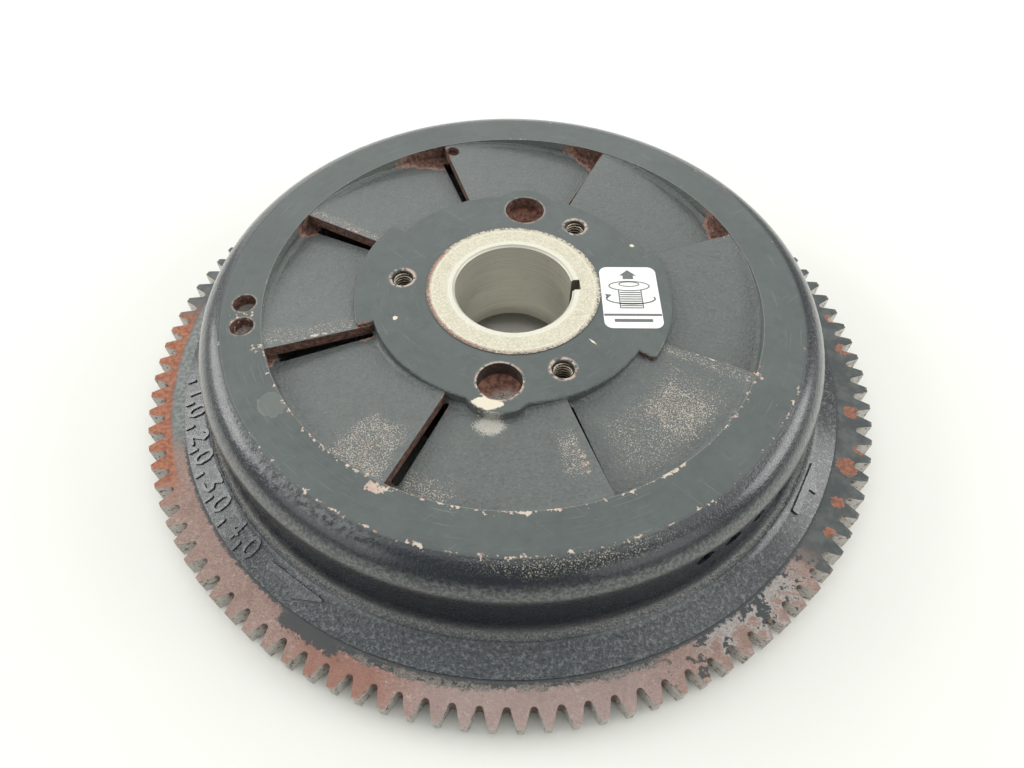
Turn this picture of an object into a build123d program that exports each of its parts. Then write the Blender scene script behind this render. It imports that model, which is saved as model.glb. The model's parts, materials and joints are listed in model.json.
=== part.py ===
"""Starter-geared magneto flywheel for an outboard engine, built from its separate pieces.

Frame: the crankshaft axis is Z and the wheel lies flat on the plane Z = 0, fan side up.
Angles are counter-clockwise seen from above, and the three puller holes are at 60, 180 and 300.
"""
from build123d import *
import math
import os

# ---- driving dimensions, millimetres and degrees -------------------------------------------
HEIGHT = 45.0                 # underside to the machined hub plate

BORE_RADIUS = 21.0
BORE_CHAMFER = 0.8
HUB_BUSH_RADIUS = 31.0
HUB_BUSH_LENGTH = 37.5
HUB_BUSH_PROUD = 0.3          # the bush face stands above the painted plate
KEYWAY_WIDTH = 4.8
KEYWAY_DEPTH = 2.8
KEYWAY_ANGLE = 9.0

HUB_BOSS_RADIUS = 46.0
HUB_PLATE_RADIUS = 50.7
HUB_PLATE_THICKNESS = 12.0
HUB_EAR_RADIUS = 56.6
HUB_EAR_SPANS = ((-28.2, 25.3), (150.8, 205.2))
HUB_EAR_CORNER = 1.6
HUB_LOBE_RADIUS = 12.6
PLATE_EDGE_ROUND = 0.8

PULLER_COUNT = 3
PULLER_FIRST_ANGLE = 60.0
PULLER_CIRCLE_RADIUS = 40.0
PULLER_TAP_RADIUS = 3.4       # tapping drill of M8 x 1.25
PULLER_MOUTH_RADIUS = 4.1
PULLER_DEPTH = 18.0

BLIND_HOLE_RADIUS = 7.5
BLIND_HOLE_CIRCLE_RADIUS = 42.0
BLIND_HOLE_DEPTH = 6.0
BLIND_HOLE_TIP = 2.6          # height of the drill cone under the straight wall
BLIND_HOLE_ANGLES = (90.0, 270.0)

VANE_COUNT = 8
VANE_FIRST_WALL = 25.6        # angle of one vane's tall end wall
VANE_DROP_AT_RIM = 6.6        # how deep a vane's low end lies, measured at the rim
VANE_TOP_BELOW_PLATE = 0.3
VANE_THICKNESS = 4.0
VANE_FILLET = 2.4
VANE_FILLET_SUNK = 0.4        # how far each fillet's upright end lies inside the wall it runs into
VANE_ROOT_RADIUS = 48.0       # the vane's hidden end, inside the hub plate
SLOT_WIDTH = 2.0              # air slot between one vane's low end and the next one's wall
SLOT_INNER_RADIUS = 51.5
SLOT_OUTER_RADIUS = 84.2
LEDGE_ANGLE = 1.6             # web that closes the slot's outer end against the rim

RIM_INNER_RADIUS = 87.6
RIM_FLAT_RADIUS = 100.8
RIM_DECK_THICKNESS = 13.0
WALL_RADIUS = 111.1
WALL_START_DEPTH = 11.5       # the shoulder meets the wall this far under the rim
WALL_FILLET = 9.0
BELL_INNER_RADIUS = 98.0
FLANGE_SLOPE = 19.0
GEAR_SEAT_RADIUS = 124.3
FLANGE_PROUD = 0.6
GEAR_LIP_RADIUS = 127.0
GEAR_TOP_DEPTH = 35.8
GEAR_THICKNESS = 7.5

MODULE = 2.54                 # ten diametral pitch
TEETH = 106
PRESSURE_ANGLE = 20.0
TOOTH_PHASE = 2.05            # angle of one tooth's middle

# angle, circle radius, hole radius and depth of the small drillings
RIM_DRILLINGS = ((191.6, 93.8, 4.0, 4.5), (198.1, 94.0, 4.0, 4.5), (113.9, 83.6, 2.6, 3.0))
WALL_DRILLING_ANGLES = (306.3, 312.0, 317.8, 323.6)
WALL_DRILLING_RADIUS = 3.1
WALL_DRILLING_DEPTH = 5.0
WALL_DRILLING_Z = HEIGHT - 12.5
DRILL_CONE = 0.6              # cone height over drill radius, a 118 degree point

MAGNET_COUNT = 12
MAGNET_GAP_ANGLE = 4.0
MAGNET_INNER_RADIUS = 88.6
MAGNET_TOP_DEPTH = 15.0
MAGNET_BOTTOM_DEPTH = 41.0
CAGE_BOTTOM_DEPTH = 43.0
SLEEVE_THICKNESS = 0.6

TRIGGER_OUTER_RADIUS = 52.0
TRIGGER_TOP_DEPTH = 22.0
TRIGGER_BOTTOM_DEPTH = 34.0
TRIGGER_MAGNET_COUNT = 2
TRIGGER_MAGNET_INNER_RADIUS = 48.0
TRIGGER_MAGNET_ANGLE = 24.0
TRIGGER_MAGNET_HEIGHT = 8.0

LABEL_SIZE = (20.4, 29.4)
LABEL_CORNER = 3.0
LABEL_CENTRE = (41.5, 0.1)
LABEL_TURN = 6.4
LABEL_THICKNESS = 0.15

MARK_HEIGHT = 0.55            # raised timing marks above the flange
MARK_SUNK = 0.8
MARK_RADIUS = 118.9
MARK_LINE = 1.15
DIGIT_HEIGHT = 6.4
DIGIT_WIDTH = 3.5
DIGIT_OFFSET = 2.15           # each digit's angle either side of its tick
TICK_START = 0.9              # the ticks stop short of the gear
TICK_END = 3.6
TICK_FIRST = 194.4
TICK_STEP = 4.97
TICK_COUNT = 8
ARROW_SPANS = ((235.4, 247.3), (329.0, 340.6))
ARROW_RADIUS = 116.7          # straight inner edge of the half arrows
ARROW_SHAFT_WIDTH = 2.5
ARROW_BARB = 5.8
ARROW_HEAD_LENGTH = 12.2
ARROW_CORNER = 0.45

GEAR_TOP = HEIGHT - GEAR_TOP_DEPTH
GEAR_BOTTOM = GEAR_TOP - GEAR_THICKNESS


# ---- small helpers --------------------------------------------------------------------------
def polar(radius, angle):
    """Point in the plan, from a radius and an angle in degrees."""
    return (radius * math.cos(math.radians(angle)), radius * math.sin(math.radians(angle)))


def ring(inner, outer, bottom, top):
    """Plain ring about the crankshaft axis."""
    face = Circle(outer) - Circle(inner)
    return Pos(0, 0, bottom) * extrude(face, top - bottom)


def sector(inner, outer, start, end, bottom, top):
    """Piece of a ring between two angles."""
    middle = (start + end) / 2
    edges = [
        ThreePointArc(polar(outer, start), polar(outer, middle), polar(outer, end)),
        Line(polar(outer, end), polar(inner, end)),
        ThreePointArc(polar(inner, end), polar(inner, middle), polar(inner, start)),
        Line(polar(inner, start), polar(outer, start)),
    ]
    return Pos(0, 0, bottom) * extrude(make_face(edges), top - bottom)


def blind_drilling(radius, depth, tip):
    """Drilled hole that opens upward at the origin and ends in the drill's cone."""
    outline = Polyline((0, 1), (radius, 1), (radius, -depth), (0, -depth - tip), close=True)
    return revolve(Plane.XZ * make_face(outline), Axis.Z)


def save(shape, name):
    """Write one node."""
    export_step(shape, f"parts/{name}.step")


# ---- flywheel casting -----------------------------------------------------------------------
def bell():
    """Rim deck, rounded shoulder, wall and geared flange as one revolved section."""
    across = WALL_RADIUS - RIM_FLAT_RADIUS
    shoulder_radius = (across**2 + WALL_START_DEPTH**2) / (2 * across)
    shoulder_centre = WALL_RADIUS - shoulder_radius
    wall_top = HEIGHT - WALL_START_DEPTH
    start_angle = math.asin((RIM_FLAT_RADIUS - shoulder_centre) / shoulder_radius)
    middle = (start_angle + math.pi / 2) / 2
    shoulder_middle = (
        shoulder_centre + shoulder_radius * math.sin(middle),
        wall_top + shoulder_radius * math.cos(middle),
    )
    slope = math.radians(FLANGE_SLOPE)
    flange_edge = GEAR_TOP + FLANGE_PROUD
    fillet_centre = WALL_RADIUS + WALL_FILLET
    fillet_end_radius = fillet_centre - WALL_FILLET * math.sin(slope)
    fillet_end = flange_edge + (GEAR_SEAT_RADIUS - fillet_end_radius) * math.tan(slope)
    fillet_top = fillet_end + WALL_FILLET * math.cos(slope)
    turn = (math.pi / 2 - slope) / 2
    fillet_middle = (fillet_centre - WALL_FILLET * math.cos(turn), fillet_top - WALL_FILLET * math.sin(turn))
    outer = [
        Line((RIM_INNER_RADIUS, HEIGHT), (RIM_FLAT_RADIUS, HEIGHT)),
        ThreePointArc((RIM_FLAT_RADIUS, HEIGHT), shoulder_middle, (WALL_RADIUS, wall_top)),
        Line((WALL_RADIUS, wall_top), (WALL_RADIUS, fillet_top)),
        ThreePointArc((WALL_RADIUS, fillet_top), fillet_middle, (fillet_end_radius, fillet_end)),
        Polyline(
            (fillet_end_radius, fillet_end),
            (GEAR_SEAT_RADIUS, flange_edge),
            (GEAR_SEAT_RADIUS, GEAR_BOTTOM),
            (GEAR_LIP_RADIUS, GEAR_BOTTOM),
            (GEAR_LIP_RADIUS, 0),
            (BELL_INNER_RADIUS, 0),
            (BELL_INNER_RADIUS, HEIGHT - RIM_DECK_THICKNESS),
            (RIM_INNER_RADIUS, HEIGHT - RIM_DECK_THICKNESS),
            (RIM_INNER_RADIUS, HEIGHT),
        ),
    ]
    return revolve(Plane.XZ * make_face(outer), Axis.Z)


def hub_plate():
    """Machined plate with its two wide ears and the lobes around the blind holes."""
    outline = Circle(HUB_PLATE_RADIUS)
    for start, end in HUB_EAR_SPANS:
        middle = (start + end) / 2
        ear = [
            ThreePointArc(
                polar(HUB_EAR_RADIUS, start), polar(HUB_EAR_RADIUS, middle), polar(HUB_EAR_RADIUS, end)
            ),
            Line(polar(HUB_EAR_RADIUS, end), (0, 0)),
            Line((0, 0), polar(HUB_EAR_RADIUS, start)),
        ]
        outline += make_face(ear)
    ear_corners = [v for v in outline.vertices() if v.center().length > HUB_PLATE_RADIUS + 1]
    outline = fillet(ear_corners, HUB_EAR_CORNER)
    for angle in BLIND_HOLE_ANGLES:
        outline += Pos(*polar(BLIND_HOLE_CIRCLE_RADIUS, angle)) * Circle(HUB_LOBE_RADIUS)
    plate = Pos(0, 0, HEIGHT - HUB_PLATE_THICKNESS) * extrude(outline, HUB_PLATE_THICKNESS)
    top_edges = plate.edges().group_by(Axis.Z)[-1]
    return fillet(top_edges, PLATE_EDGE_ROUND)


def vane():
    """One flat sloping vane about the X axis, with cast fillets against hub and rim."""
    half_span = 180 / VANE_COUNT
    reach = RIM_INNER_RADIUS * math.sin(math.radians(half_span))
    high = HEIGHT - VANE_TOP_BELOW_PLATE
    low = HEIGHT - VANE_DROP_AT_RIM
    tilt = math.degrees(math.atan2(high - low, 2 * reach))
    rim = RIM_INNER_RADIUS + VANE_FILLET_SUNK
    hub = HUB_PLATE_RADIUS - VANE_FILLET_SUNK
    cut = VANE_FILLET * (1 - math.sqrt(0.5))
    section = [
        Line((VANE_ROOT_RADIUS, VANE_FILLET), (hub, VANE_FILLET)),
        ThreePointArc((hub, VANE_FILLET), (hub + cut, cut), (hub + VANE_FILLET, 0)),
        Line((hub + VANE_FILLET, 0), (rim - VANE_FILLET, 0)),
        ThreePointArc((rim - VANE_FILLET, 0), (rim - cut, cut), (rim, VANE_FILLET)),
        Polyline(
            (rim, VANE_FILLET),
            (rim + 1, VANE_FILLET),
            (rim + 1, -VANE_THICKNESS),
            (VANE_ROOT_RADIUS, -VANE_THICKNESS),
            (VANE_ROOT_RADIUS, VANE_FILLET),
        ),
    ]
    disc = revolve(Plane.XZ * make_face(section), Axis.Z)
    tilted = Pos(0, 0, (high + low) / 2) * Rot(tilt, 0, 0) * disc
    window = sector(
        VANE_ROOT_RADIUS + 0.5, rim + 0.3, -half_span, half_span, 0, HEIGHT - VANE_TOP_BELOW_PLATE
    )
    slot_middle = (SLOT_INNER_RADIUS + SLOT_OUTER_RADIUS) / 2
    slot = Pos(slot_middle, SLOT_WIDTH / 2) * SlotOverall(SLOT_OUTER_RADIUS - SLOT_INNER_RADIUS, SLOT_WIDTH)
    blade = (tilted & window) - Rot(0, 0, -half_span) * extrude(slot, HEIGHT)
    web_top = high - VANE_THICKNESS / 2
    web = sector(
        SLOT_OUTER_RADIUS, rim + 0.3, -half_span - LEDGE_ANGLE, -half_span, low - VANE_THICKNESS, web_top
    )
    return blade + web


def raised_line(points, plane):
    """Raised cast line of even width, with round joints, through points on a flange plane."""
    line = Pos(*points[0]) * Circle(MARK_LINE / 2)
    for start, end in zip(points, points[1:]):
        line += trace(Line(start, end), MARK_LINE)
        line += Pos(*end) * Circle(MARK_LINE / 2)
    return plane * Pos(0, 0, -MARK_SUNK) * extrude(line, MARK_SUNK + MARK_HEIGHT)


def flange_plane(radius, angle):
    """Plane lying on the conical flange: X runs with the angle, Y points to the hub."""
    slope = math.radians(FLANGE_SLOPE)
    x, y = polar(radius, angle)
    z = GEAR_TOP + FLANGE_PROUD + (GEAR_SEAT_RADIUS - radius) * math.tan(slope)
    along = (-math.sin(math.radians(angle)), math.cos(math.radians(angle)), 0)
    outward = (
        math.sin(slope) * math.cos(math.radians(angle)),
        math.sin(slope) * math.sin(math.radians(angle)),
        math.cos(slope),
    )
    return Plane(origin=(x, y, z), x_dir=along, z_dir=outward)


def digit_lines(digit):
    """Centre lines of one numeral, with its foot toward the gear."""
    w = DIGIT_WIDTH / 2
    h = DIGIT_HEIGHT / 2
    shapes = {
        "0": [(-w, -h / 2), (-w, h / 2), (-w / 2, h), (w / 2, h), (w, h / 2), (w, -h / 2),
              (w / 2, -h), (-w / 2, -h), (-w, -h / 2)],
        "1": [(-w / 2, h / 2), (w / 4, h), (w / 4, -h)],
        "2": [(-w, h / 2), (-w / 2, h), (w / 2, h), (w, h / 2), (-w, -h), (w, -h)],
        "3": [(-w, h), (w, h), (0, h / 5), (w, -h / 5), (w, -h * 0.7), (w / 3, -h), (-w, -h)],
        "4": [(w / 2, -h), (w / 2, h), (-w, -h / 3), (w, -h / 3)],
    }
    return shapes[digit]


def half_arrow(half):
    """Flat outline of a half arrow whose straight edge runs from -half to half along X."""
    neck = half - ARROW_HEAD_LENGTH
    outline = Polyline(
        (-half, 0),
        (half, 0),
        (neck, -ARROW_BARB),
        (neck, -ARROW_SHAFT_WIDTH),
        (-half, -ARROW_SHAFT_WIDTH),
        close=True,
    )
    arrow = make_face(outline)
    return fillet(arrow.vertices(), ARROW_CORNER)


def timing_marks():
    """Raised timing scale and the two half arrows, all to be fused to the flange."""
    marks = []
    for step in range(TICK_COUNT):
        angle = TICK_FIRST + TICK_STEP * step
        plane = flange_plane(GEAR_SEAT_RADIUS, angle)
        marks.append(raised_line([(0, TICK_START), (0, TICK_END)], plane))
        if step % 2 == 1:
            tens = str((step + 1) // 2)
            for digit, side in ((tens, -1), ("0", 1)):
                place = flange_plane(MARK_RADIUS, angle + side * DIGIT_OFFSET)
                marks.append(raised_line(digit_lines(digit), place))
    for start, end in ARROW_SPANS:
        half = ARROW_RADIUS * math.sin(math.radians((end - start) / 2))
        arrow = half_arrow(half)
        place = flange_plane(ARROW_RADIUS, (start + end) / 2)
        marks.append(place * Pos(0, 0, -MARK_SUNK) * extrude(arrow, MARK_SUNK + MARK_HEIGHT))
    return marks


def flywheel_casting():
    """Cast bell, vanes and hub in one piece, drilled and machined."""
    body = ring(HUB_BUSH_RADIUS, HUB_BOSS_RADIUS, HEIGHT - HUB_BUSH_LENGTH, HEIGHT - 1)
    body += hub_plate()
    one_vane = vane()
    pitch = 360 / VANE_COUNT
    for index in range(VANE_COUNT):
        wall_angle = VANE_FIRST_WALL + pitch * index
        body += Rot(0, 0, wall_angle - pitch / 2) * one_vane
    body += bell()
    for mark in timing_marks():
        body += mark
    body -= Pos(0, 0, HEIGHT / 2) * Cylinder(HUB_BUSH_RADIUS, 2 * HEIGHT)
    mouth = PULLER_MOUTH_RADIUS - PULLER_TAP_RADIUS
    tapped = blind_drilling(PULLER_TAP_RADIUS, PULLER_DEPTH, PULLER_TAP_RADIUS * DRILL_CONE)
    tapped += Pos(0, 0, -mouth / 2) * Cone(PULLER_TAP_RADIUS, PULLER_MOUTH_RADIUS, mouth)
    for index in range(PULLER_COUNT):
        angle = PULLER_FIRST_ANGLE + 360 / PULLER_COUNT * index
        body -= Pos(*polar(PULLER_CIRCLE_RADIUS, angle), HEIGHT) * tapped
    for angle in BLIND_HOLE_ANGLES:
        hole = blind_drilling(BLIND_HOLE_RADIUS, BLIND_HOLE_DEPTH, BLIND_HOLE_TIP)
        body -= Pos(*polar(BLIND_HOLE_CIRCLE_RADIUS, angle), HEIGHT) * hole
    for angle, radius, hole_radius, depth in RIM_DRILLINGS:
        hole = blind_drilling(hole_radius, depth, hole_radius * DRILL_CONE)
        body -= Pos(*polar(radius, angle), HEIGHT) * hole
    for angle in WALL_DRILLING_ANGLES:
        hole = blind_drilling(WALL_DRILLING_RADIUS, WALL_DRILLING_DEPTH, WALL_DRILLING_RADIUS * DRILL_CONE)
        body -= Rot(0, 0, angle) * Pos(WALL_RADIUS, 0, WALL_DRILLING_Z) * Rot(0, 90, 0) * hole
    return body


# ---- hub bush -------------------------------------------------------------------------------
def hub_bush():
    """Steel bush with the keyed crankshaft bore."""
    bottom = HEIGHT - HUB_BUSH_LENGTH
    top = HEIGHT + HUB_BUSH_PROUD
    bush = ring(BORE_RADIUS, HUB_BUSH_RADIUS, bottom, top)
    bore_edges = bush.edges().filter_by(GeomType.CIRCLE).filter_by(
        lambda edge: abs(edge.radius - BORE_RADIUS) < 0.01
    )
    bush = chamfer(bore_edges, BORE_CHAMFER)
    depth = BORE_RADIUS + KEYWAY_DEPTH
    keyway = Pos(depth / 2, 0, HEIGHT / 2) * Box(depth, KEYWAY_WIDTH, 2 * HEIGHT)
    return bush - Rot(0, 0, KEYWAY_ANGLE) * keyway


# ---- starter ring gear ----------------------------------------------------------------------
def involute_point(base_radius, radius, half_angle_at_base, side):
    """Point of a tooth flank at a radius, on one side of the tooth's middle."""
    pressure = math.acos(base_radius / radius)
    angle = half_angle_at_base - (math.tan(pressure) - pressure)
    return polar(radius, side * math.degrees(angle))


def ring_gear():
    """Shrunk-on starter gear with full-depth involute teeth."""
    pitch_radius = MODULE * TEETH / 2
    base_radius = pitch_radius * math.cos(math.radians(PRESSURE_ANGLE))
    tip_radius = pitch_radius + MODULE
    root_radius = pitch_radius - 1.25 * MODULE
    pressure = math.radians(PRESSURE_ANGLE)
    half_at_base = math.pi / (2 * TEETH) + math.tan(pressure) - pressure
    flank_start = root_radius + 0.35 * MODULE
    flank_radii = (flank_start, pitch_radius, tip_radius)
    half_pitch = 180 / TEETH
    rising = [involute_point(base_radius, r, half_at_base, -1) for r in flank_radii]
    falling = [involute_point(base_radius, r, half_at_base, 1) for r in reversed(flank_radii)]
    valley = polar(root_radius, half_pitch)
    next_start = Vector(*rising[0]).rotate(Axis.Z, 2 * half_pitch)
    one_tooth = [
        ThreePointArc(*rising),
        Line(rising[-1], falling[0]),
        ThreePointArc(*falling),
        ThreePointArc(falling[-1], valley, next_start),
    ]
    edges = []
    for index in range(TEETH):
        turn = Rot(0, 0, TOOTH_PHASE + 2 * half_pitch * index)
        edges.extend(turn * edge for edge in one_tooth)
    face = make_face(Wire.combine([e for shape in edges for e in shape.edges()])[0])
    face -= Circle(GEAR_SEAT_RADIUS)
    gear = Pos(0, 0, GEAR_BOTTOM) * extrude(face, GEAR_THICKNESS)
    return gear


# ---- alternator magnets inside the bell -----------------------------------------------------
def magnet(index):
    """One curved charging magnet."""
    pitch = 360 / MAGNET_COUNT
    start = index * pitch + MAGNET_GAP_ANGLE / 2
    end = (index + 1) * pitch - MAGNET_GAP_ANGLE / 2
    return sector(
        MAGNET_INNER_RADIUS,
        BELL_INNER_RADIUS,
        start,
        end,
        HEIGHT - MAGNET_BOTTOM_DEPTH,
        HEIGHT - MAGNET_TOP_DEPTH,
    )


def magnet_cage(magnets):
    """Moulded cage that spaces the magnets around the wall."""
    cage = ring(
        MAGNET_INNER_RADIUS, BELL_INNER_RADIUS, HEIGHT - CAGE_BOTTOM_DEPTH, HEIGHT - RIM_DECK_THICKNESS
    )
    for piece in magnets:
        cage -= piece
    return cage


def magnet_sleeve():
    """Thin sleeve that keeps the magnets against the wall."""
    return ring(
        MAGNET_INNER_RADIUS - SLEEVE_THICKNESS,
        MAGNET_INNER_RADIUS,
        HEIGHT - CAGE_BOTTOM_DEPTH,
        HEIGHT - RIM_DECK_THICKNESS,
    )


# ---- ignition trigger ring on the hub -------------------------------------------------------
def trigger_magnet(index):
    """One small ignition trigger magnet."""
    middle = index * 360 / TRIGGER_MAGNET_COUNT
    half = TRIGGER_MAGNET_ANGLE / 2
    centre = HEIGHT - (TRIGGER_TOP_DEPTH + TRIGGER_BOTTOM_DEPTH) / 2
    return sector(
        TRIGGER_MAGNET_INNER_RADIUS,
        TRIGGER_OUTER_RADIUS,
        middle - half,
        middle + half,
        centre - TRIGGER_MAGNET_HEIGHT / 2,
        centre + TRIGGER_MAGNET_HEIGHT / 2,
    )


def trigger_carrier(magnets):
    """Moulded ring on the hub boss that holds the trigger magnets."""
    carrier = ring(
        HUB_BOSS_RADIUS, TRIGGER_OUTER_RADIUS, HEIGHT - TRIGGER_BOTTOM_DEPTH, HEIGHT - TRIGGER_TOP_DEPTH
    )
    for piece in magnets:
        carrier -= piece
    return carrier


# ---- label ----------------------------------------------------------------------------------
def puller_label():
    """Thin stuck-on label beside the bush."""
    sheet = extrude(RectangleRounded(*LABEL_SIZE, LABEL_CORNER), LABEL_THICKNESS)
    return Pos(*LABEL_CENTRE, HEIGHT) * Rot(0, 0, LABEL_TURN) * sheet


# ---- write every node -----------------------------------------------------------------------
def main():
    os.makedirs("parts", exist_ok=True)
    save(flywheel_casting(), "flywheel_casting")
    save(hub_bush(), "hub_bush")
    save(ring_gear(), "ring_gear")
    magnets = [magnet(index) for index in range(MAGNET_COUNT)]
    for index, piece in enumerate(magnets, start=1):
        save(piece, f"magnet_{index:02d}")
    save(magnet_cage(magnets), "magnet_cage")
    save(magnet_sleeve(), "magnet_sleeve")
    triggers = [trigger_magnet(index) for index in range(TRIGGER_MAGNET_COUNT)]
    for index, piece in enumerate(triggers, start=1):
        save(piece, f"trigger_magnet_{index}")
    save(trigger_carrier(triggers), "trigger_carrier")
    save(puller_label(), "puller_label")


main()
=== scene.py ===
import json
import math

import bmesh
import bpy
from mathutils import Matrix, Vector


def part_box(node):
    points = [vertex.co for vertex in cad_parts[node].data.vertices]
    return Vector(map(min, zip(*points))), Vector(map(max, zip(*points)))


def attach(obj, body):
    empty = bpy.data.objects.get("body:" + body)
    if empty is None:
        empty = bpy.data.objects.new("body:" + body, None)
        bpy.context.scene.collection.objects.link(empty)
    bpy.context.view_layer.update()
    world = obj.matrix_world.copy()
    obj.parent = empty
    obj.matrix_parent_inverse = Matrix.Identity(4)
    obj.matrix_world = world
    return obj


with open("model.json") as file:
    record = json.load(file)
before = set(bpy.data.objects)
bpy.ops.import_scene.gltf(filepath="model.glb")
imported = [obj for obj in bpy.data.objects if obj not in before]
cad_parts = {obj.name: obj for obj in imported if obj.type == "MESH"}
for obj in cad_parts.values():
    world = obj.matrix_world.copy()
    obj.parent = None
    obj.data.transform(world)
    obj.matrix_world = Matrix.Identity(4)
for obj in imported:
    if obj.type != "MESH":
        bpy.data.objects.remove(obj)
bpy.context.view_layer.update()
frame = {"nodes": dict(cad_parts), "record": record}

# Sizes of the wheel in millimetres, measured from the crank axis and from the plane it rests on.
MM = 0.001
HEIGHT = 45.0
BORE_RADIUS = 21.0
BUSH_RADIUS = 31.0
PULLER_ANGLES = (60, 180, 300)
PULLER_CIRCLE = 40.0
BLIND_CIRCLE = 42.0
BLIND_RADIUS = 7.5
RIM_DRILLINGS = ((93.8, 191.6), (94.0, 198.1))
VANE_DRILLING = (83.6, 113.9)
HUB_EDGE = 51.5
RIM_INNER = 87.6
RIM_OUTER = 101.5
GEAR_SEAT = 124.3
GEAR_TOP = 9.2
FLANGE_LIP = 0.6
FLANGE_SLOPE = 19.0
MARKS_INNER = 114.6
MARKS_OUTER = 124.4

# Bare patches in the paint: direction, radius, degrees wide, millimetres deep, strength.
BARE_PATCHES = (
    (249.6, 89.6, 3.4, 3.6, 1.0),
    (205.0, 90.0, 2.2, 3.6, 1.0),
    (195.0, 94.0, 6.5, 6.5, 0.72),
    (340.2, 88.5, 2.4, 3.4, 0.95),
    (32.5, 49.6, 1.5, 1.5, 1.3),
    (25.9, 52.2, 1.5, 1.2, 1.2),
    (26.5, 86.0, 2.4, 3.4, 0.8),
    (293.0, 73.0, 1.6, 11.0, 0.8),
    (340.8, 72.0, 1.0, 15.0, 0.9),
    (204.6, 70.0, 0.9, 17.0, 0.85),
    (160.0, 70.0, 0.9, 17.0, 0.8),
)

# Rust in the corners of wall and rim: the wall's direction, degrees wide, millimetres deep, and how
# much less of it there is.
RUST_CORNERS = (
    (70.6, 15.0, 10.0, 0.0),
    (115.6, 19.0, 13.0, 0.0),
    (25.6, 15.0, 10.0, 0.0),
    (160.6, 8.0, 9.0, 0.0),
    (205.6, 5.0, 6.0, 0.2),
    (340.6, 8.0, 6.0, 0.25),
)

# Rust beside the hub, as direction, radius, width, depth and strength.
HUB_RUST = (
    (206.5, 54.0, 4.0, 5.0, 0.5),
    (251.5, 54.0, 3.0, 5.0, 0.4),
    (71.5, 55.0, 3.0, 6.0, 0.4),
)

# Orange rust on the teeth that are still painted, in the same order.
TOOTH_RUST = (
    (330.0, 131.0, 1.2, 3.0, 1.0),
    (335.5, 129.5, 1.4, 3.5, 1.0),
    (342.5, 129.5, 2.2, 5.0, 1.1),
    (346.5, 133.0, 1.2, 3.0, 1.0),
    (353.5, 130.0, 1.8, 4.0, 1.0),
    (7.0, 132.0, 1.6, 4.0, 1.0),
    (14.0, 133.0, 1.4, 3.5, 1.0),
)


class Value:
    """A number or colour that varies over a surface. Arithmetic on it adds nodes."""

    def __init__(self, finish, socket):
        self.finish = finish
        self.socket = socket

    def __add__(self, other):
        return self.finish.maths("ADD", self, other)

    def __radd__(self, other):
        return self.finish.maths("ADD", other, self)

    def __sub__(self, other):
        return self.finish.maths("SUBTRACT", self, other)

    def __rsub__(self, other):
        return self.finish.maths("SUBTRACT", other, self)

    def __mul__(self, other):
        return self.finish.maths("MULTIPLY", self, other)

    def __rmul__(self, other):
        return self.finish.maths("MULTIPLY", other, self)

    def __truediv__(self, other):
        return self.finish.maths("DIVIDE", self, other)

    def __abs__(self):
        return self.finish.maths("ABSOLUTE", self)


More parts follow.
